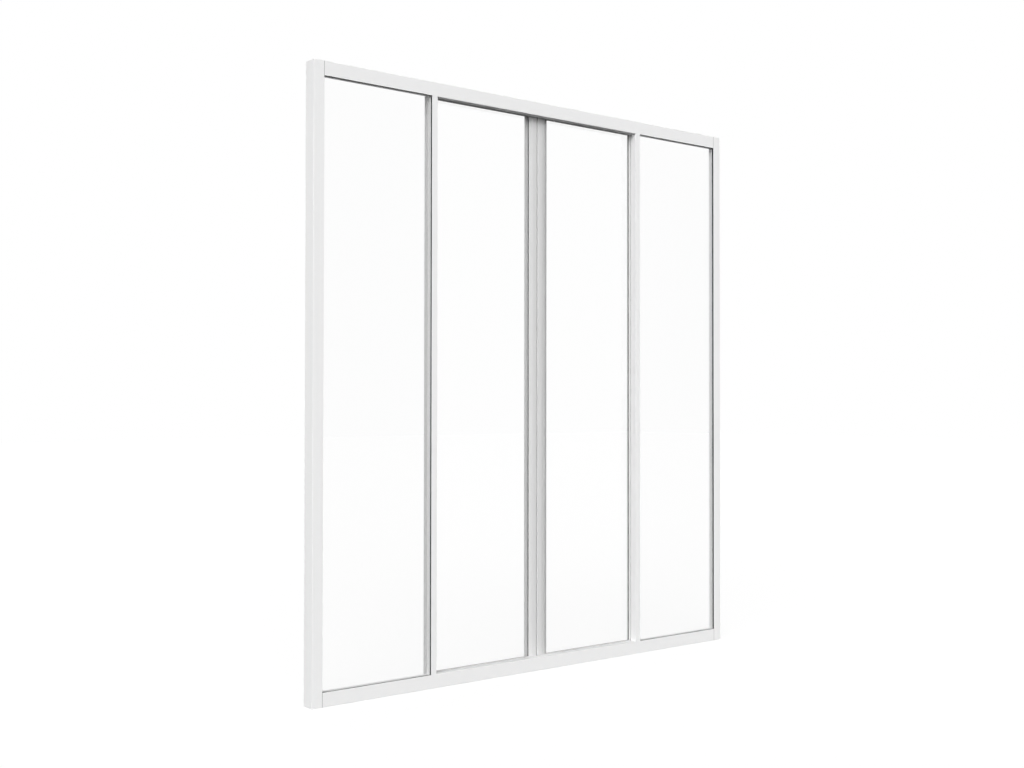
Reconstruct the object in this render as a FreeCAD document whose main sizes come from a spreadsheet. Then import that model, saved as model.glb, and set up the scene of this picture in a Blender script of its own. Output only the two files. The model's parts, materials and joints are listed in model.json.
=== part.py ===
# Glazed partition: a slim aluminium frame with two fixed outer lites and two sliding inner leaves.
# Millimetres, +Z up. The origin is on the underside of the sill, at mid width and mid depth.
# The front of the frame faces -Y. Sections are drawn from the front plane backwards.
import FreeCAD, Part
import math
import os
import Sketcher

DRIVING_SIZES = {
    # Frame sections
    "frame_width": 2036.0,
    "frame_height": 2200.0,
    "frame_depth": 54.5,
    "box_depth": 29.0,
    "section_wall": 2.0,
    "web_thickness": 3.0,
    "arris_radius": 1.2,
    "edge_radius": 0.6,
    "jamb_face": 41.0,
    "rail_face": 50.0,
    "mullion_face": 25.0,
    "mullion_spacing": 1031.0,
    # Glazing of the fixed lites
    "rebate_depth": 12.0,
    "lip_thickness": 2.0,
    "fixed_gasket_thickness": 5.5,
    "gasket_height": 5.0,
    "edge_cover": 9.0,
    "fixed_glass_thickness": 6.0,
    "bead_wall": 1.5,
    "bead_chamfer": 1.5,
    "bead_joint_gap": 0.3,
    "bead_glass_gap": 0.3,
    # Leaf sections, the meeting stile's profile and its seal
    "leaf_clearance": 5.0,
    "leaf_depth": 17.5,
    "leaf_lip_thickness": 1.8,
    "leaf_gasket_thickness": 3.8,
    "leaf_glass_thickness": 5.0,
    "leaf_reveal": 5.0,
    "leaf_rail_reveal": 2.0,
    "leaf_bead_setback": 6.0,
    "outer_stile_face": 28.0,
    "meeting_face": 38.5,
    "meeting_gap": 5.0,
    "meeting_radius": 2.0,
    "grip_rise": 2.0,
    "grip_flat_width": 16.5,
    "grip_width": 27.0,
    "grip_edge_fall": 1.1,
    "grip_groove_width": 1.0,
    "grip_groove_depth": 1.5,
    "strip_fall": 1.9,
    "meeting_bead_reach": 15.0,
    "seal_width": 6.0,
    "seal_gap": 0.6,
    # Track, rollers and sliders
    "running_gap": 5.0,
    "track_base_width": 12.0,
    "track_base_thickness": 2.0,
    "rib_width": 3.0,
    "rib_rise": 8.0,
    "rib_radius": 1.2,
    "channel_depth": 20.0,
    "wheel_tread_radius": 7.0,
    "wheel_flange_radius": 8.5,
    "wheel_width": 9.0,
    "wheel_groove_gap": 0.6,
    "wheel_running_gap": 0.3,
    "axle_radius": 2.0,
    "axle_boss_height": 3.0,
    "carriage_length": 60.0,
    "carriage_end_gap": 60.0,
    "carriage_plate": 1.5,
    "slider_gap": 0.5,
}

# Places worked out from the driving sizes, as formulas of the same sheet. Places across and
# up are measured from the origin, and places in depth from the front plane.
WORKED_OUT = {
    "half_width": "frame_width / 2",
    "jamb_inner": "half_width - jamb_face",
    "jamb_chamber": "jamb_face - rebate_depth",
    "mullion_bay_side": "mullion_spacing / 2 + mullion_face / 2",
    "mullion_door_side": "mullion_spacing / 2 - mullion_face / 2",
    "mullion_chamber": "mullion_face - rebate_depth",
    "rail_chamber": "rail_face - rebate_depth",
    "glass_front": "lip_thickness + fixed_gasket_thickness",
    "bead_front": "glass_front + fixed_glass_thickness + bead_glass_gap",
    "clear_height": "frame_height - 2 * rail_face",
    "grip_front": "box_depth + leaf_clearance",
    "leaf_front": "grip_front + grip_rise",
    "leaf_back": "leaf_front + leaf_depth",
    "leaf_middle": "leaf_front + leaf_depth / 2",
    "leaf_lip_back": "leaf_front + leaf_lip_thickness",
    "leaf_glass_front": "leaf_lip_back + leaf_gasket_thickness",
    "leaf_bead_front": "leaf_glass_front + leaf_glass_thickness + bead_glass_gap",
    "rib_top": "web_thickness + track_base_thickness + rib_rise",
    "leaf_bottom": "web_thickness + track_base_thickness + running_gap",
    "leaf_height": "frame_height - 2 * leaf_bottom",
    "leaf_meeting": "meeting_gap / 2",
    "leaf_glass_start": "leaf_meeting + meeting_face",
    "leaf_glass_end": "mullion_door_side - leaf_reveal",
    "leaf_outer": "leaf_glass_end + outer_stile_face",
    "leaf_rail_top": "rail_face + leaf_rail_reveal",
    "wheel_centre": "rib_top + wheel_running_gap + wheel_tread_radius",
    "channel_top": "leaf_bottom + channel_depth",
    "channel_width": "leaf_depth - 2 * section_wall",
    "grip_edge_width": "grip_width - grip_flat_width",
    "grip_edge_radius": "(grip_edge_width ^ 2 + grip_edge_fall ^ 2) / (2 * grip_edge_fall)",
    "strip_front": "grip_front + grip_edge_fall",
    "grip_groove_end": "grip_width + grip_groove_width",
    "carriage_reach": "carriage_end_gap + carriage_length / 2",
}


def make_sheet(doc):
    """Put the driving sizes and the worked out places in one sheet, one named row each."""
    sheet = doc.addObject("Spreadsheet::Sheet", "Sizes")
    row = 0
    for alias, size in DRIVING_SIZES.items():
        row += 1
        sheet.set("A%d" % row, alias)
        sheet.set("B%d" % row, str(size))
        sheet.setAlias("B%d" % row, alias)
    for alias, formula in WORKED_OUT.items():
        row += 1
        sheet.set("A%d" % row, alias)
        sheet.set("B%d" % row, "=" + formula)
        sheet.setAlias("B%d" % row, alias)
    doc.recompute()


def on_sheet(formula):
    """Give each word of a formula the sheet's name, so that an object can read it."""
    words = []
    word = ""
    for mark in formula + " ":
        if mark.isalnum() or mark == "_":
            word += mark
            continue
        words.append("Sizes." + word if word and not word[0].isdigit() else word)
        words.append(mark)
        word = ""
    return "".join(words).strip()


def plane_of(body, role):
    """The body's own origin plane with this role."""
    for feature in body.Origin.OriginFeatures:
        if feature.Role == role:
            return feature


def value(body, formula):
    """The number that a formula gives for the sizes of this build."""
    result = body.evalExpression(on_sheet(formula))
    return float(getattr(result, "Value", result))


def hold_point(sketch, index, end, across, up):
    """Hold one end of a line at a place given by two formulas."""
    for kind, formula in (("DistanceX", across), ("DistanceY", up)):
        number = value(sketch, formula)
        held = sketch.addConstraint(Sketcher.Constraint(kind, -1, 1, index, end, number))
        sketch.setExpression("Constraints[%d]" % held, on_sheet(formula))


def draw_loop(sketch, corners):
    """Draw a closed outline through corners (across, up, radius, bow).

    A radius rounds the corner between two square lines. A bow is the radius of the arc that
    takes the place of the line to the next corner, with its hollow side to the left.
    """
    count = len(corners)
    points = [FreeCAD.Vector(value(sketch, c[0]), value(sketch, c[1]), 0) for c in corners]
    edges = []
    for i in range(count):
        first, last = corners[i], corners[(i + 1) % count]
        if first[3]:
            draw_bow(sketch, first, last, points[i], points[(i + 1) % count])
            edges.append(None)
            continue
        along = (points[(i + 1) % count] - points[i]).normalize()
        ends = [shift(first, along, 1), shift(last, along, -1)]
        places = [FreeCAD.Vector(value(sketch, a), value(sketch, u), 0) for a, u in ends]
        index = sketch.addGeometry(Part.LineSegment(places[0], places[1]))
        hold_point(sketch, index, 1, *ends[0])
        hold_point(sketch, index, 2, *ends[1])
        edges.append((index, places[0], places[1], along))
    for i in range(count):
        radius = corners[i][2]
        if radius:
            round_corner(sketch, edges[i - 1], edges[i], radius)


def shift(corner, along, way):
    """The formulas of a corner, moved along its square line by the corner's radius."""
    across, up, radius = corner[:3]
    if radius and abs(along.x) > abs(along.y):
        across += " + " if along.x * way > 0 else " - "
        across += radius
    elif radius:
        up += " + " if along.y * way > 0 else " - "
        up += radius
    return across, up


def draw_bow(sketch, first, last, start, stop):
    """An arc of a given radius from one corner to the next, its centre on the left."""
    size = value(sketch, first[3])
    chord = stop - start
    left = FreeCAD.Vector(-chord.y, chord.x, 0).normalize()
    centre = (start + stop) / 2 + left * (size ** 2 - (chord.Length / 2) ** 2) ** 0.5
    circle = Part.Circle(centre, FreeCAD.Vector(0, 0, 1), size)
    angles = [math.atan2((p - centre).y, (p - centre).x) for p in (start, stop)]
    index = sketch.addGeometry(Part.ArcOfCircle(circle, angles[0], angles[1]))
    hold_point(sketch, index, 1, *first[:2])
    hold_point(sketch, index, 2, *last[:2])
    held = sketch.addConstraint(Sketcher.Constraint("Radius", index, size))
    sketch.setExpression("Constraints[%d]" % held, on_sheet(first[3]))


def round_corner(sketch, before, after, radius):
    """Join two square lines with an arc that touches both."""
    size = value(sketch, radius)
    turn = before[3].x * after[3].y - before[3].y * after[3].x
    centre = before[2] + after[3] * size
    start, stop = (before[2], after[1]) if turn > 0 else (after[1], before[2])
    angles = [math.atan2((p - centre).y, (p - centre).x) for p in (start, stop)]
    circle = Part.Circle(centre, FreeCAD.Vector(0, 0, 1), size)
    arc = sketch.addGeometry(Part.ArcOfCircle(circle, angles[0], angles[1]))
    near, far = (1, 2) if turn > 0 else (2, 1)
    sketch.addConstraint(Sketcher.Constraint("Coincident", arc, near, before[0], 2))
    sketch.addConstraint(Sketcher.Constraint("Coincident", arc, far, after[0], 1))
    held = sketch.addConstraint(Sketcher.Constraint("Radius", arc, size))
    sketch.setExpression("Constraints[%d]" % held, on_sheet(radius))


def full_corner(across, up, radius=None, bow=None):
    """A corner with all its four entries."""
    return across, up, radius, bow


def draw_section(body, name, role, loops):
    """A sketch of closed outlines on one of the body's own planes."""
    sketch = body.newObject("Sketcher::SketchObject", name)
    sketch.AttachmentSupport = [(plane_of(body, role), "")]
    sketch.MapMode = "FlatFace"
    for corners in loops:
        draw_loop(sketch, [full_corner(*corner) for corner in corners])
    return sketch


def place(thing, across="0", back="0", up="0", turned=False):
    """Set an object by formulas: turned swaps left and right and top and bottom, front stays front."""
    angle = 180 if turned else 0
    thing.Placement = FreeCAD.Placement(FreeCAD.Vector(), FreeCAD.Rotation(FreeCAD.Vector(0, 1, 0), angle))
    for axis, formula in (("x", across), ("y", back + " - frame_depth / 2"), ("z", up)):
        thing.setExpression("Placement.Base." + axis, on_sheet(formula))


def extrude(doc, name, role, loops, length, both_ways=False, backwards=False):
    """A body whose section is pushed out to a length given by a formula."""
    body = doc.addObject("PartDesign::Body", name)
    body.Label = name
    sketch = draw_section(body, name + "_section", role, loops)
    pad = body.newObject("PartDesign::Pad", name + "_length")
    pad.Profile = sketch
    pad.setExpression("Length", on_sheet(length))
    pad.Midplane = both_ways
    pad.Reversed = backwards
    return body


def rectangle(left, bottom, right, top):
    """Four sharp corners, anticlockwise."""
    return [(left, bottom), (right, bottom), (right, top), (left, top)]


def make_jamb(doc, name, left):
    """Full height upright: hollow box, glazing lip in front and a web that closes the leaf's pocket."""
    outline = [
        ("0", "0", "arris_radius"),
        ("jamb_face", "0", "edge_radius"),
        ("jamb_face", "lip_thickness"),
        ("jamb_chamber", "lip_thickness"),
        ("jamb_chamber", "box_depth"),
        ("web_thickness", "box_depth"),
        ("web_thickness", "frame_depth"),
        ("0", "frame_depth", "arris_radius"),
    ]
    chamber = rectangle("section_wall", "section_wall",
                        "jamb_chamber - section_wall", "box_depth - section_wall")
    body = extrude(doc, name, "XY_Plane", [outline, chamber], "frame_height")
    if left:
        place(body, across="-half_width")
    else:
        place(body, across="half_width", up="frame_height", turned=True)
    return body


def cut_through(body, sketch, name):
    """A pocket through everything on the side that a sketch's plane faces."""
    pocket = body.newObject("PartDesign::Pocket", name)
    pocket.Profile = sketch
    pocket.Type = "ThroughAll"
    pocket.Reversed = True


def make_rail(doc, name, top):
    """Sill or head between the jambs: hollow box, glazing lip and a web under the leaves."""
    outline = [
        ("0", "0", "arris_radius"),
        ("frame_depth", "0", "arris_radius"),
        ("frame_depth", "web_thickness"),
        ("box_depth", "web_thickness"),
        ("box_depth", "rail_chamber"),
        ("lip_thickness", "rail_chamber"),
        ("lip_thickness", "rail_face"),
        ("0", "rail_face", "edge_radius"),
    ]
    chamber = rectangle("section_wall", "section_wall",
                        "box_depth - section_wall", "rail_chamber - section_wall")
    body = extrude(doc, name, "YZ_Plane", [outline, chamber],
                   "2 * (half_width - web_thickness)", both_ways=True)
    notch_rail(body, name)
    place(body, up="frame_height" if top else "0", turned=top)
    return body


def notch_rail(body, name):
    """Cut both ends of a rail so that it fits round the lip and the box of the jambs."""
    loops = []
    for side in ("", "-"):
        outer = side + "half_width"
        chamber = side + "(half_width - jamb_chamber)"
        lip = side + "jamb_inner"
        loops.append([
            (outer, "-lip_thickness"),
            (lip, "-lip_thickness"),
            (lip, "lip_thickness"),
            (chamber, "lip_thickness"),
            (chamber, "box_depth"),
            (outer, "box_depth"),
        ])
    sketch = draw_section(body, name + "_end_cuts", "XY_Plane", loops)
    cut_through(body, sketch, name + "_ends")


def make_mullion(doc, name, left):
    """Upright between the rails: hollow box with a glazing lip on the side of the fixed lite."""
    outline = [
        ("0", "0", "edge_radius"),
        ("mullion_face", "0", "edge_radius"),
        ("mullion_face", "lip_thickness"),
        ("mullion_chamber", "lip_thickness"),
        ("mullion_chamber", "box_depth"),
        ("0", "box_depth", "edge_radius"),
    ]
    chamber = rectangle("section_wall", "section_wall",
                        "mullion_chamber - section_wall", "box_depth - section_wall")
    body = extrude(doc, name, "XY_Plane", [outline, chamber], "clear_height")
    if left:
        place(body, across="-mullion_door_side", up="frame_height - rail_face", turned=True)
    else:
        place(body, across="mullion_door_side", up="rail_face")
    return body


def make_bar(doc, name, low, size):
    """A plain straight bar from its lowest corner and its three sizes, all formulas."""
    bar = doc.addObject("Part::Box", name)
    bar.Label = name
    for axis, formula in zip(("Length", "Width", "Height"), size):
        bar.setExpression(axis, on_sheet(formula))
    place(bar, low[0], low[1], low[2])
    return bar


def make_ring(doc, name, opening, width, front, thickness):
    """A closed frame round an opening (left, bottom, right, top), pushed back from its front."""
    left, bottom, right, top = opening
    outer = rectangle(left + " - " + width, bottom + " - " + width,
                      right + " + " + width, top + " + " + width)
    body = extrude(doc, name, "XZ_Plane", [outer, rectangle(*opening)], thickness, backwards=True)
    place(body, back=front)
    return body


def bead_loops(upright, width, front, back):
    """Hollow bead from the rebate's floor to its width, with a chamfer beside the glass."""
    outer = [
        ("0", front),
        (width + " - bead_chamfer", front),
        (width, front + " + bead_chamfer"),
        (width, back),
        ("0", back),
    ]
    inner = rectangle("bead_wall", front + " + bead_wall",
                      width + " - bead_wall - bead_chamfer", back + " - bead_wall")
    if upright:
        return [outer, inner]
    return [[(up, across) for across, up in reversed(loop)] for loop in (outer, inner)]


def make_upright_bead(doc, name, foot, width, depths, height, turned):
    """Bead beside a pane, foot being the place across of the rebate's floor."""
    loops = bead_loops(True, width, *depths)
    body = extrude(doc, name, "XY_Plane", loops, height)
    low = "(frame_height - " + height + ") / 2"
    place(body, across=foot, up="frame_height - " + low if turned else low, turned=turned)
    return body


def make_level_bead(doc, name, middle, foot, width, depths, length, turned):
    """Bead under or over a pane, foot being the height of the rebate's floor."""
    loops = bead_loops(False, width, *depths)
    body = extrude(doc, name, "YZ_Plane", loops, length, both_ways=True)
    place(body, across=middle, up="frame_height - (%s)" % foot if turned else foot, turned=turned)
    return body


def make_fixed_lite(doc, side, sign):
    """Glass, front gasket and the four glazing beads of one outer bay."""
    right = sign > 0
    mark = "" if right else "-"
    low_edge = "mullion_bay_side" if right else "-jamb_inner"
    high_edge = "jamb_inner" if right else "-mullion_bay_side"
    width = "(jamb_inner - mullion_bay_side)"
    middle = mark + "(jamb_inner + mullion_bay_side) / 2"
    opening = (low_edge, "rail_face", high_edge, "frame_height - rail_face")
    parts = [
        make_ring(doc, side + "_fixed_gasket", opening, "gasket_height",
                  "lip_thickness", "fixed_gasket_thickness"),
        make_bar(doc, side + "_fixed_glass",
                 (low_edge + " - edge_cover", "glass_front", "rail_face - edge_cover"),
                 (width + " + 2 * edge_cover", "fixed_glass_thickness",
                  "clear_height + 2 * edge_cover")),
    ]
    depths = ("bead_front", "box_depth")
    for end, turned in (("sill", False), ("head", True)):
        parts.append(make_level_bead(doc, "%s_%s_bead" % (side, end), middle, "rail_chamber",
                                     "rebate_depth", depths, width + " + 2 * rebate_depth", turned))
    parts.append(make_upright_bead(doc, side + "_jamb_bead", mark + "(jamb_inner + rebate_depth)",
                                   "rebate_depth", depths, "clear_height", right))
    parts.append(make_upright_bead(doc, side + "_mullion_bead",
                                   mark + "(mullion_bay_side - rebate_depth)",
                                   "rebate_depth", depths, "clear_height", not right))
    return parts


def make_doorway_cover(doc, name, turned):
    """Snap-in hollow strip that closes the glazing rebate of a rail between the mullions."""
    length = "2 * (mullion_bay_side - rebate_depth)"
    return make_level_bead(doc, name, "0", "rail_chamber", "rebate_depth",
                           ("lip_thickness", "box_depth"), length, turned)


def make_track(doc, name, top):
    """Rail with a flat foot and an upright rib, screwed to the web behind the box."""
    foot = "web_thickness + track_base_thickness"
    middle = "leaf_middle"
    outline = [
        (middle + " - track_base_width / 2", "web_thickness"),
        (middle + " + track_base_width / 2", "web_thickness"),
        (middle + " + track_base_width / 2", foot),
        (middle + " + rib_width / 2", foot),
        (middle + " + rib_width / 2", "rib_top", "rib_radius"),
        (middle + " - rib_width / 2", "rib_top", "rib_radius"),
        (middle + " - rib_width / 2", foot),
        (middle + " - track_base_width / 2", foot),
    ]
    body = extrude(doc, name, "YZ_Plane", [outline], "2 * (half_width - web_thickness)", both_ways=True)
    place(body, up="frame_height" if top else "0", turned=top)
    return body


def outer_stile_loops():
    """Plain upright of a leaf: hollow box with a glazing lip towards the glass."""
    chamber_face = "outer_stile_face - rebate_depth"
    outline = [
        ("0", "leaf_front", "arris_radius"),
        ("outer_stile_face", "leaf_front", "edge_radius"),
        ("outer_stile_face", "leaf_lip_back"),
        (chamber_face, "leaf_lip_back"),
        (chamber_face, "leaf_back"),
        ("0", "leaf_back", "arris_radius"),
    ]
    chamber = rectangle("section_wall", "leaf_front + section_wall",
                        chamber_face + " - section_wall", "leaf_back - section_wall")
    return [outline, chamber]


def meeting_stile_loops():
    """Upright with a full height grip: a bar, curved on one side, a fine groove and a sloping strip."""
    chamber_face = "meeting_face - rebate_depth"
    outline = [
        ("0", "grip_front", "meeting_radius"),
        ("grip_flat_width", "grip_front", None, "grip_edge_radius"),
        ("grip_width", "strip_front"),
        ("grip_width", "strip_front + grip_groove_depth"),
        ("grip_groove_end", "strip_front + grip_groove_depth"),
        ("grip_groove_end", "strip_front"),
        ("meeting_face", "strip_front + strip_fall"),
        ("meeting_face", "leaf_lip_back"),
        (chamber_face, "leaf_lip_back"),
        (chamber_face, "leaf_back"),
        ("0", "leaf_back", "meeting_radius"),
    ]
    chamber = rectangle("section_wall", "strip_front + section_wall",
                        chamber_face + " - section_wall", "leaf_back - section_wall")
    return [outline, chamber]


def make_stile(doc, name, loops, edge, turned):
    """A leaf's upright whose outer edge stands at a place across."""
    body = extrude(doc, name, "XY_Plane", loops, "leaf_height")
    notch_stile(body, name)
    place(body, across=edge, up="frame_height - leaf_bottom" if turned else "leaf_bottom", turned=turned)
    return body


def notch_stile(body, name):
    """Carry the channel of the rails through both ends of a stile, so that it passes over the track."""
    near = "leaf_front + section_wall"
    far = near + " + channel_width"
    loops = [
        rectangle(near, "-section_wall", far, "channel_depth"),
        rectangle(near, "leaf_height - channel_depth", far, "leaf_height + section_wall"),
    ]
    sketch = draw_section(body, name + "_end_cuts", "YZ_Plane", loops)
    cut_through(body, sketch, name + "_ends")


def make_leaf_rail(doc, name, middle, top):
    """Rail of a leaf: open channel over the track, hollow box and a glazing lip."""
    outline = [
        ("leaf_front", "leaf_bottom"),
        ("leaf_front + section_wall", "leaf_bottom"),
        ("leaf_front + section_wall", "channel_top"),
        ("leaf_back - section_wall", "channel_top"),
        ("leaf_back - section_wall", "leaf_bottom"),
        ("leaf_back", "leaf_bottom"),
        ("leaf_back", "leaf_rail_top - rebate_depth"),
        ("leaf_lip_back", "leaf_rail_top - rebate_depth"),
        ("leaf_lip_back", "leaf_rail_top"),
        ("leaf_front", "leaf_rail_top", "edge_radius"),
    ]
    chamber = rectangle("leaf_front + section_wall", "channel_top + section_wall",
                        "leaf_back - section_wall", "leaf_rail_top - rebate_depth - section_wall")
    length = "leaf_glass_end - leaf_glass_start + 2 * rebate_depth"
    body = extrude(doc, name, "YZ_Plane", [outline, chamber], length, both_ways=True)
    notch_leaf_rail(body, name)
    place(body, across=middle, up="frame_height" if top else "0", turned=top)
    return body


def notch_leaf_rail(body, name):
    """Cut the lip's ends back so that it stands between the lips of the stiles."""
    half = "(leaf_glass_end - leaf_glass_start) / 2"
    loops = []
    for side in ("", "-"):
        outer = side + "(" + half + " + 2 * rebate_depth)"
        loops.append(rectangle(outer, "grip_front", side + "(" + half + ")", "leaf_lip_back"))
    sketch = draw_section(body, name + "_end_cuts", "XY_Plane", loops)
    cut_through(body, sketch, name + "_ends")


def make_meeting_bead(doc, name, right):
    """Hollow bead behind the meeting stile, with a thin wide flange that holds the glass from the back."""
    reach = "rebate_depth + meeting_bead_reach"
    body_width = "rebate_depth - leaf_bead_setback"
    flange_back = "leaf_bead_front + bead_wall"
    outline = [
        ("0", "leaf_bead_front"),
        (reach, "leaf_bead_front"),
        (reach, flange_back),
        (body_width, flange_back),
        (body_width, "leaf_back"),
        ("0", "leaf_back"),
    ]
    chamber = rectangle("bead_wall", flange_back, body_width + " - bead_wall", "leaf_back - bead_wall")
    height = "(frame_height - 2 * (leaf_rail_top - rebate_depth))"
    body = extrude(doc, name, "XY_Plane", [outline, chamber], height)
    across = "(leaf_glass_start - rebate_depth)"
    low = "leaf_rail_top - rebate_depth"
    if right:
        place(body, across=across, up=low)
    else:
        place(body, across="-" + across, up="frame_height - (" + low + ")", turned=True)
    return body


def make_leaf_beads(doc, name, right):
    """Rear beads of a leaf under, over and beside the glass, kept as one node."""
    mark = "" if right else "-"
    width = "(rebate_depth - leaf_bead_setback)"
    depths = ("leaf_bead_front", "leaf_back")
    low_end = "leaf_glass_start + meeting_bead_reach + bead_joint_gap"
    high_end = "leaf_glass_end + rebate_depth"
    length = "%s - (%s)" % (high_end, low_end)
    middle = "%s(%s + %s) / 2" % (mark, low_end, high_end)
    beads = []
    for end, turned in (("_bottom", False), ("_top", True)):
        beads.append(make_level_bead(doc, name + end, middle, "(leaf_rail_top - rebate_depth)", width,
                                     depths, length, turned))
    height = "(frame_height - 2 * (leaf_rail_top - leaf_bead_setback + bead_joint_gap))"
    beads.append(make_upright_bead(doc, name + "_side", mark + "(" + high_end + ")", width, depths,
                                   height, right))
    node = doc.addObject("Part::Compound", name)
    node.Label = name
    node.Links = beads
    return node


def make_roller_unit(doc, name, across):
    """Carriage with a grooved wheel that stands on the track's rib."""
    foot = "wheel_centre - axle_boss_height"
    front = "leaf_front + section_wall"
    start = across + " - carriage_length / 2"
    housing = make_bar(doc, name + "_housing", (start, front, foot),
                       ("carriage_length", "channel_width", "channel_top - (" + foot + ")"))
    slot = make_bar(doc, name + "_slot", (start, front + " + carriage_plate", foot),
                    ("carriage_length", "channel_width - 2 * carriage_plate",
                     "channel_top - (" + foot + ") - carriage_plate"))
    yoke = doc.addObject("Part::Cut", name + "_yoke")
    yoke.Base = housing
    yoke.Tool = slot
    flange = "(wheel_width - rib_width - wheel_groove_gap) / 2"
    rounds = [
        ("axle", "axle_radius", "channel_width", front),
        ("tread", "wheel_tread_radius", "wheel_width", "leaf_middle - wheel_width / 2"),
        ("front_flange", "wheel_flange_radius", flange, "leaf_middle - wheel_width / 2"),
        ("rear_flange", "wheel_flange_radius", flange, "leaf_middle + wheel_width / 2 - " + flange),
    ]
    pieces = [yoke]
    for part, radius, width, start in rounds:
        pieces.append(make_disc(doc, name + "_" + part, radius, width, (across, start, "wheel_centre")))
    unit = doc.addObject("Part::MultiFuse", name)
    unit.Shapes = pieces
    return unit


def make_disc(doc, name, radius, width, centre):
    """A round whose axis runs from the front to the back, from the centre of its front face."""
    disc = doc.addObject("Part::Cylinder", name)
    disc.setExpression("Radius", on_sheet(radius))
    disc.setExpression("Height", on_sheet(width))
    place(disc, *centre)
    disc.Placement.Rotation = FreeCAD.Rotation(FreeCAD.Vector(1, 0, 0), -90)
    return disc


def make_slider_unit(doc, name, across):
    """Block in the top channel that straddles the guide rib."""
    low = "frame_height - channel_top"
    start = across + " - carriage_length / 2"
    block = make_bar(doc, name + "_block", (start, "leaf_front + section_wall", low),
                     ("carriage_length", "channel_width", "channel_depth"))
    slot_low = "frame_height - rib_top - slider_gap"
    slot = make_bar(doc, name + "_slot", (start, "leaf_middle - rib_width / 2 - slider_gap", slot_low),
                    ("carriage_length", "rib_width + 2 * slider_gap", "rib_rise + slider_gap"))
    unit = doc.addObject("Part::Cut", name)
    unit.Base = block
    unit.Tool = slot
    return unit


def make_pair(doc, name, mark, make_unit):
    """Two like units near the ends of a leaf's rail, kept as one node."""
    units = []
    for part, across in (("_inner", "(leaf_glass_start + carriage_reach)"),
                         ("_outer", "(leaf_glass_end - carriage_reach)")):
        units.append(make_unit(doc, name + part, mark + across))
    pair = doc.addObject("Part::Compound", name)
    pair.Label = name
    pair.Links = units
    return pair


def make_leaf(doc, side, sign):
    """One sliding leaf, from its meeting stile at mid width to its outer stile behind the mullion."""
    right = sign > 0
    label = side + "_leaf_"
    mark = "" if right else "-"
    middle = mark + "(leaf_glass_start + leaf_glass_end) / 2"
    low = "leaf_glass_start" if right else "-leaf_glass_end"
    high = "leaf_glass_end" if right else "-leaf_glass_start"
    opening = (low, "leaf_rail_top", high, "frame_height - leaf_rail_top")
    seal_start = "seal_gap / 2" if right else "-leaf_meeting"
    return [
        make_stile(doc, label + "meeting_stile", meeting_stile_loops(), mark + "leaf_meeting", not right),
        make_stile(doc, label + "outer_stile", outer_stile_loops(), mark + "leaf_outer", right),
        make_leaf_rail(doc, label + "bottom_rail", middle, False),
        make_leaf_rail(doc, label + "top_rail", middle, True),
        make_ring(doc, label + "gasket", opening, "gasket_height",
                  "leaf_lip_back", "leaf_gasket_thickness"),
        make_bar(doc, label + "glass",
                 (low + " - edge_cover", "leaf_glass_front", "leaf_rail_top - edge_cover"),
                 ("leaf_glass_end - leaf_glass_start + 2 * edge_cover", "leaf_glass_thickness",
                  "frame_height - 2 * leaf_rail_top + 2 * edge_cover")),
        make_leaf_beads(doc, label + "bead", right),
        make_meeting_bead(doc, label + "meeting_bead", right),
        make_pair(doc, label + "rollers", mark, make_roller_unit),
        make_pair(doc, label + "sliders", mark, make_slider_unit),
        make_bar(doc, label + "meeting_seal",
                 (seal_start, "leaf_middle - seal_width / 2", "channel_top"),
                 ("leaf_meeting - seal_gap / 2", "seal_width", "frame_height - 2 * channel_top")),
    ]


def check_model(doc, parts):
    """Stop on any failed object, and on a sub-part whose shape is missing or not valid."""
    for thing in doc.Objects:
        if "Invalid" in thing.State or "Error" in thing.State:
            raise RuntimeError("failed object: " + thing.Name)
    for part in parts:
        if part.Shape.isNull() or not part.Shape.isValid():
            raise RuntimeError("bad shape: " + part.Label)


def build():
    """Make the document, every sub-part in it, and one file for each."""
    doc = FreeCAD.newDocument("Partition")
    make_sheet(doc)
    parts = [
        make_jamb(doc, "left_jamb", True),
        make_jamb(doc, "right_jamb", False),
        make_rail(doc, "sill", False),
        make_rail(doc, "head", True),
        make_mullion(doc, "left_mullion", True),
        make_mullion(doc, "right_mullion", False),
        make_track(doc, "bottom_track", False),
        make_track(doc, "top_guide", True),
        make_doorway_cover(doc, "sill_cover", False),
        make_doorway_cover(doc, "head_cover", True),
    ]
    for side, sign in (("left", -1), ("right", 1)):
        parts += make_fixed_lite(doc, side, sign)
        parts += make_leaf(doc, side, sign)
    doc.recompute()
    check_model(doc, parts)
    os.makedirs("parts", exist_ok=True)
    for part in parts:
        part.Shape.exportStep("parts/%s.step" % part.Label)


build()
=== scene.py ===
"""Finish, light and camera of a slim white framed glass partition with two sliding leaves.

Metres, +Z up, front face towards -Y, in the frame's own coordinates.
"""
import json
import math

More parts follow.
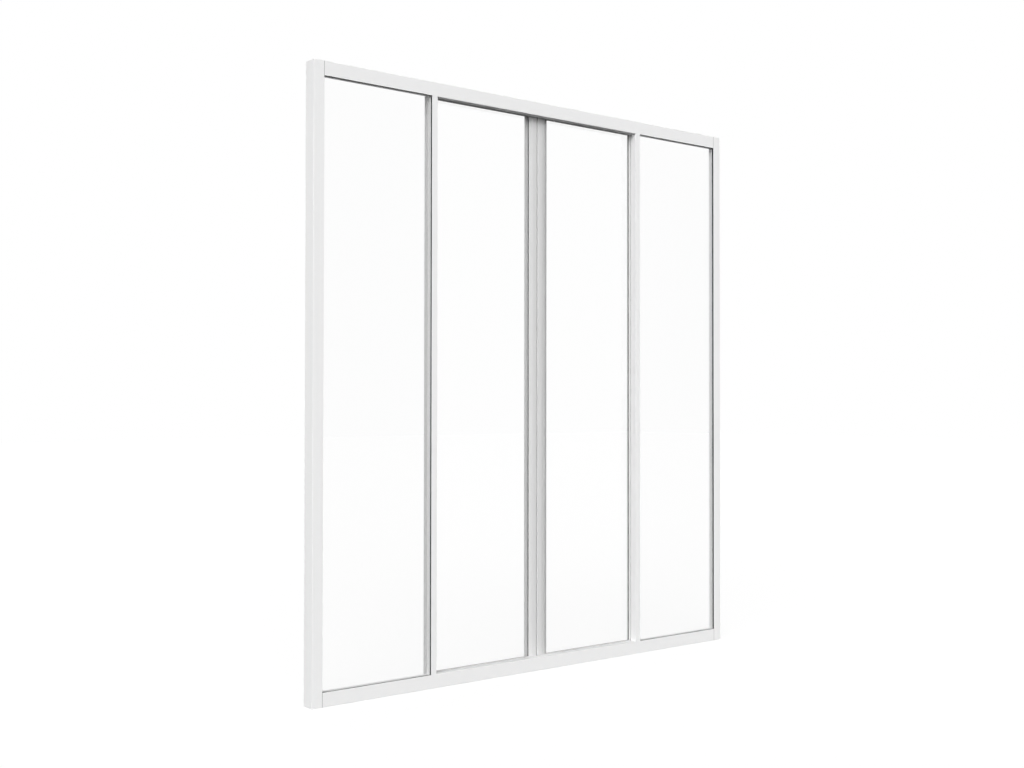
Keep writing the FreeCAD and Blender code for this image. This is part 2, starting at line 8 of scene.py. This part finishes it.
import bpy
import numpy as np
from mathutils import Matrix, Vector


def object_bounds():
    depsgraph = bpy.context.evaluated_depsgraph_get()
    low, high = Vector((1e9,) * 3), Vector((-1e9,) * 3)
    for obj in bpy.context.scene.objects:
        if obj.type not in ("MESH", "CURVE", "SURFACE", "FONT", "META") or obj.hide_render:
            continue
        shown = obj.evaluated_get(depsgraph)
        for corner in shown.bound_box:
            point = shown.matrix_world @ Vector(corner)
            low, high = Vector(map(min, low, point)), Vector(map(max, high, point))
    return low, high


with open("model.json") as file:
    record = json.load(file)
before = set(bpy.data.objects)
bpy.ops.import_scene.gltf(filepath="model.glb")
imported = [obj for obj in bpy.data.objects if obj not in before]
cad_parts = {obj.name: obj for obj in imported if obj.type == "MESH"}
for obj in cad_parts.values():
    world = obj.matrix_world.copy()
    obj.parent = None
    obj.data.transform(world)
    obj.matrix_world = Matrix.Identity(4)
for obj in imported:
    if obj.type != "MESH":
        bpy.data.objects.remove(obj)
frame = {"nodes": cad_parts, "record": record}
cad_low, cad_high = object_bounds()

# Camera: the image is taken as 1024 by 768 pixels, and the focal length is in its pixels.
IMAGE_WIDTH = 1024
FOCAL_PIXELS = 1262.5
SENSOR_WIDTH = 36.0
CAMERA_PLACE = (-3.1684, -3.77185, 1.0317)
CAMERA_YAW = 38.835
CAMERA_PITCH = 0.871
CAMERA_ROLL = 0.063

# Openings of the outer panes: sides from mid width, ends from mid height, lip and box in depth.
JAMB_INNER = 0.977
MULLION_OUTER = 0.528
FRAME_MIDDLE = 1.1
RAIL_START = 1.05
FRONT = -0.02725
LIP_BACK = -0.02525
BOX_BACK = 0.00175

# Painted shadow in the corner joints and near-black paint on the lips round the outer panes, in the
# white coat: half a joint's width, how dark each is and a soft edge.
JOINT_HALF = 0.0007
JOINT_PAINTED_SHADOW = 0.7
LIP_EDGE_DARKNESS = 0.97
EDGE = 0.0002

# Surroundings. Each light of the sky has a side, a narrowness and a level.
LIGHTS = (
    ((-0.62, -0.655, 0.43), 9.0, 8.0),
    ((0.2, 0.98, 0.02), 30.0, 15.0),
    ((0.92, 0.38, 0.02), 30.0, 10.0),
)
SKY_LEVEL = 0.02
GROUND_LEVEL = 0.2
HORIZON_BLUR = 0.05
FLOOR_SIZE = 60.0
FLOOR_GAP = 0.0005
FLOOR_GREY = 0.17
FLOOR_GLOW = 0.873
GLASS_PASSES = 0.86


class Signal:
    """A socket on its way through a material. Arithmetic on it adds Math nodes."""

    def __init__(self, paint, socket):
        self.paint = paint
        self.socket = socket

    def __add__(self, other):
        return self.paint.maths("ADD", self, other)

    def __sub__(self, other):
        return self.paint.maths("SUBTRACT", self, other)

    def __rsub__(self, other):
        return self.paint.maths("SUBTRACT", other, self)

    def __mul__(self, other):
        return self.paint.maths("MULTIPLY", self, other)

    __radd__ = __add__
    __rmul__ = __mul__

    def __pow__(self, exponent):
        return self.paint.maths("POWER", self, exponent)

    def __abs__(self):
        return self.paint.maths("ABSOLUTE", self)

    def larger(self, other):
        return self.paint.maths("MAXIMUM", self, other)

    def ramp(self, low, high):
        """0 below low, 1 above high and a straight line between."""
        return self.paint.maths("MULTIPLY", self - low, 1 / (high - low), clamp=True)

    def at(self, place):
        """1 close to a value and 0 elsewhere."""
        return 1 - abs(self - place).ramp(EDGE, 2 * EDGE)


class Paint:
    """The nodes of one material, or of the world when its node tree is given."""

    def __init__(self, name, tree=None):
        if tree is None:
            self.material = bpy.data.materials.new(name)
            self.material.use_nodes = True
            tree = self.material.node_tree
        self.tree = tree
        self.tree.nodes.clear()

    def add(self, kind, settings=None, sockets=None, out=0):
        """Add a node: its kind, its settings, its sockets' values or links and the output to give."""
        node = self.tree.nodes.new(kind)
        for name, setting in (settings or {}).items():
            setattr(node, name, setting)
        for name, given in (sockets or {}).items():
            if isinstance(given, Signal):
                self.tree.links.new(given.socket, node.inputs[name])
            else:
                node.inputs[name].default_value = given
        return Signal(self, node.outputs[out]) if node.outputs else None

    def maths(self, operation, *values, clamp=False):
        settings = {"operation": operation, "use_clamp": clamp}
        return self.add("ShaderNodeMath", settings, dict(enumerate(values)))

    def place(self):
        """The point in the frame's own coordinates."""
        return self.add("ShaderNodeTexCoord", out="Object")

    def axis(self, letter):
        """One coordinate of that point."""
        return self.add("ShaderNodeSeparateXYZ", None, {0: self.place()}, out=letter)

    def along(self, scales):
        """The point with each of its coordinates scaled by itself, for patterns that run one way."""
        return self.add("ShaderNodeMapping", None, {"Vector": self.place(), "Scale": scales})

    def noise(self, scale, detail=3.0, where=None):
        """Noise from 0 to 1 with so many waves to a metre, in the frame's coordinates or in others."""
        sockets = {"Vector": where or self.place(), "Scale": scale, "Detail": detail}
        return self.add("ShaderNodeTexNoise", None, sockets, out="Fac")

    def mix(self, factor, first, second):
        """A colour between two others."""
        sockets = {"Factor": factor, 6: (*first, 1), 7: (*second, 1)}
        return self.add("ShaderNodeMix", {"data_type": "RGBA"}, sockets, out=2)

    def darken(self, colour, share):
        """A colour less a share of itself."""
        sockets = {0: colour, "Scale": 1 - share}
        return self.add("ShaderNodeVectorMath", {"operation": "SCALE"}, sockets)

    def bump(self, height, distance, strength=1.0):
        sockets = {"Height": height, "Distance": distance, "Strength": strength}
        return self.add("ShaderNodeBump", None, sockets)

    def surface(self, **sockets):
        """A Principled surface. Its socket names are given with underscores for spaces."""
        named = {name.replace("_", " "): given for name, given in sockets.items()}
        return self.add("ShaderNodeBsdfPrincipled", None, named)

    def finish(self, shader):
        self.add("ShaderNodeOutputMaterial", None, {"Surface": shader})
        return self.material


def powder_coat(paint, low, high, painted_darkening=0.0):
    """Satin powder coat: almost even between two greys, with a fine orange peel and a given painted
    darkening, such as a painted shadow.
    """
    cloud = paint.noise(2.5)
    grain = paint.noise(900.0, detail=1.0)
    colour = paint.mix(cloud * 0.6 + grain * 0.4, (low, low, low), (high, high, high))
    peel = paint.noise(650.0, detail=2.0)
    return paint.finish(paint.surface(
        Base_Color=paint.darken(colour, painted_darkening),
        Roughness=0.46 + 0.1 * grain,
        Normal=paint.bump(peel, 0.00002),
        Specular_IOR_Level=0.2,
    ))


def dark_lip_edges(paint):
    """1 on the side of the lip round an outer pane, which the white coat paints near black, and 0
    elsewhere.
    """
    across = abs(paint.axis("X"))
    height = abs(paint.axis("Z") - FRAME_MIDDLE)
    depth = paint.axis("Y")
    side = across.at(JAMB_INNER) + across.at(MULLION_OUTER)
    upright = side * (1 - height.ramp(RAIL_START, RAIL_START + EDGE))
    level = height.at(RAIL_START) * across.ramp(MULLION_OUTER - EDGE, MULLION_OUTER)
    level = level * (1 - across.ramp(JAMB_INNER, JAMB_INNER + EDGE))
    lip = depth.ramp(FRONT + EDGE, FRONT + 2 * EDGE) * (1 - depth.ramp(LIP_BACK, LIP_BACK + EDGE))
    return upright.larger(level) * lip


def painted_joint_shadow(paint):
    """1 in the fine upright joints between jambs and rails, in front, where a shadow line is painted,
    and 0 elsewhere.
    """
    distance = abs(abs(paint.axis("X")) - JAMB_INNER)
    near = 1 - distance.ramp(JOINT_HALF - EDGE, JOINT_HALF + EDGE)
    rail = abs(paint.axis("Z") - FRAME_MIDDLE).ramp(RAIL_START - EDGE, RAIL_START)
    front = 1 - paint.axis("Y").ramp(BOX_BACK - EDGE, BOX_BACK)
    return near * rail * front


def white_coat():
    paint = Paint("white_coat")
    # Painted shadow: a dark line painted into the joints between jambs and rails.
    joint_shadow = JOINT_PAINTED_SHADOW * painted_joint_shadow(paint)
    # The white lips' sides round the outer panes are painted near black.
    dark_lips = LIP_EDGE_DARKNESS * dark_lip_edges(paint)
    return powder_coat(paint, 0.86, 0.88, joint_shadow.larger(dark_lips))


# Painted shade: the leaves carry the frame's white powder coat, here painted greyer for their place set
# back behind the frame.
def leaf_coat_painted_shade():
    return powder_coat(Paint("leaf_coat_painted_shade"), 0.67, 0.69)


def clear_glass():
    """Float glass with faint smears. The outer panes, in front, are thicker and a tone darker."""
    paint = Paint("clear_glass")
    smear = paint.noise(4.0)
    leaf = paint.axis("Y").ramp(-EDGE, EDGE)
    clear = paint.mix(leaf, (0.98, 0.981, 0.981), (0.99, 0.991, 0.991))
    glass = paint.surface(
        Base_Color=paint.darken(clear, 0.004 * smear),
        Roughness=0.012 * smear,
        Transmission_Weight=1.0,
        IOR=1.5,
    )
    lamp = paint.add("ShaderNodeLightPath", out="Is Shadow Ray")
    sky = paint.add("ShaderNodeLightPath", out="Is Diffuse Ray")
    through = paint.add("ShaderNodeBsdfTransparent", None, {"Color": (*[GLASS_PASSES] * 3, 1)})
    return paint.finish(paint.add("ShaderNodeMixShader", None, {0: lamp + sky, 1: glass, 2: through}))


def black_gasket():
    """Matt black rubber with a soft skin."""
    paint = Paint("black_gasket")
    skin = paint.noise(400.0)
    return paint.finish(paint.surface(
        Base_Color=paint.mix(skin, (0.007, 0.007, 0.008), (0.014, 0.014, 0.015)),
        Roughness=0.62 + 0.2 * skin,
        Normal=paint.bump(skin, 0.00003),
        Specular_IOR_Level=0.2,
    ))


def grey_pile():
    """Brush seal: fine threads that stand across the gap."""
    paint = Paint("grey_pile")
    threads = paint.noise(1.0, where=paint.along((60.0, 1500.0, 1500.0)))
    return paint.finish(paint.surface(
        Base_Color=paint.mix(threads, (0.22, 0.22, 0.23), (0.5, 0.5, 0.51)),
        Roughness=0.9,
        Normal=paint.bump(threads, 0.0002),
    ))


def anodised():
    """Satin anodised extrusion, with faint lines along its length."""
    paint = Paint("anodised")
    lines = paint.noise(1.0, where=paint.along((4.0, 1800.0, 1800.0)))
    return paint.finish(paint.surface(
        Base_Color=paint.mix(lines, (0.68, 0.69, 0.7), (0.76, 0.77, 0.78)),
        Metallic=1.0,
        Roughness=0.28 + 0.14 * lines,
        Normal=paint.bump(lines, 0.00001),
    ))


def moulded_nylon():
    """Dark moulded plastic with a fine grain."""
    paint = Paint("moulded_nylon")
    grain = paint.noise(1200.0)
    return paint.finish(paint.surface(
        Base_Color=paint.mix(grain, (0.035, 0.036, 0.04), (0.06, 0.061, 0.065)),
        Roughness=0.42 + 0.15 * grain,
        Normal=paint.bump(grain, 0.00004),
    ))


FINISHES = {
    "white_profile": white_coat,
    "leaf_profile": leaf_coat_painted_shade,
    "glass": clear_glass,
    "gasket": black_gasket,
    "seal": grey_pile,
    "track_metal": anodised,
    "nylon": moulded_nylon,
}


def dress_nodes():
    """Give every node of the frame the finish of its material slot."""
    made = {slot: finish() for slot, finish in FINISHES.items()}
    for part in frame["record"]["subparts"]:
        node = frame["nodes"][part["node"]]
        node.data.materials.clear()
        node.data.materials.append(made[part["material_slot"]])


def make_floor():
    """A pale level floor under the sill, white to the eye, that keeps the object's shadow."""
    half = FLOOR_SIZE / 2
    corners = np.array([(-half, -half), (half, -half), (half, half), (-half, half)])
    points = np.column_stack((corners, np.full(len(corners), cad_low.z - FLOOR_GAP)))
    mesh = bpy.data.meshes.new("floor")
    mesh.from_pydata(points.tolist(), [], [(0, 1, 2, 3)])
    floor = bpy.data.objects.new("floor", mesh)
    bpy.context.scene.collection.objects.link(floor)
    paint = Paint("pale_floor")
    matt = paint.add("ShaderNodeBsdfDiffuse", None, {"Color": (*[FLOOR_GREY] * 3, 1)})
    strength = FLOOR_GLOW * seen_ray(paint)
    glow = paint.add("ShaderNodeEmission", None, {"Color": (1, 1, 1, 1), "Strength": strength})
    floor.data.materials.append(paint.finish(paint.add("ShaderNodeAddShader", None, {0: matt, 1: glow})))


def seen_ray(paint):
    """1 for what the eye sees straight, mirrored or through glass, and 0 for light on surfaces."""
    camera, glossy, through = (paint.add("ShaderNodeLightPath", out="Is %s Ray" % kind)
                               for kind in ("Camera", "Glossy", "Transmission"))
    bounces = paint.add("ShaderNodeLightPath", out="Diffuse Depth")
    return camera.larger(glossy).larger(through) * paint.maths("LESS_THAN", bounces, 0.5)


def lobe(paint, towards, narrowness):
    """The cosine of the angle from a side of the sky, raised to a power."""
    direction = paint.add("ShaderNodeTexCoord", out="Generated")
    middle = np.array(towards) / np.linalg.norm(towards)
    sockets = {0: direction, 1: middle.tolist()}
    cosine = paint.add("ShaderNodeVectorMath", {"operation": "DOT_PRODUCT"}, sockets, out="Value")
    return cosine.larger(0.0) ** narrowness


def light_world():
    """A wide soft light from the upper left in front and lower ones from behind, white to the eye."""
    world = bpy.data.worlds.new("surroundings")
    world.use_nodes = True
    bpy.context.scene.world = world
    paint = Paint("surroundings", world.node_tree)
    direction = paint.add("ShaderNodeTexCoord", out="Generated")
    up = paint.add("ShaderNodeSeparateXYZ", None, {0: direction}, out="Z")
    sky = SKY_LEVEL + sum(level * lobe(paint, side, narrowness) for side, narrowness, level in LIGHTS)
    above = up.ramp(-HORIZON_BLUR, HORIZON_BLUR)
    light = above * sky + GROUND_LEVEL * (1 - above)
    seen = seen_ray(paint)
    level = light * (1 - seen) + seen
    background = paint.add("ShaderNodeBackground", None, {"Color": (1, 1, 1, 1), "Strength": level})
    paint.add("ShaderNodeOutputWorld", None, {"Surface": background})


def set_camera():
    """Look at the front from the left, almost level."""
    data = bpy.data.cameras.new("camera")
    data.sensor_width = SENSOR_WIDTH
    data.lens = SENSOR_WIDTH * FOCAL_PIXELS / IMAGE_WIDTH
    camera = bpy.data.objects.new("camera", data)
    camera.location = CAMERA_PLACE
    turns = (90 + CAMERA_PITCH, -CAMERA_ROLL, -CAMERA_YAW)
    camera.rotation_euler = [math.radians(turn) for turn in turns]
    bpy.context.scene.collection.objects.link(camera)
    bpy.context.scene.camera = camera


dress_nodes()
make_floor()
light_world()
set_camera()
bpy.context.scene.view_settings.view_transform = "Standard"
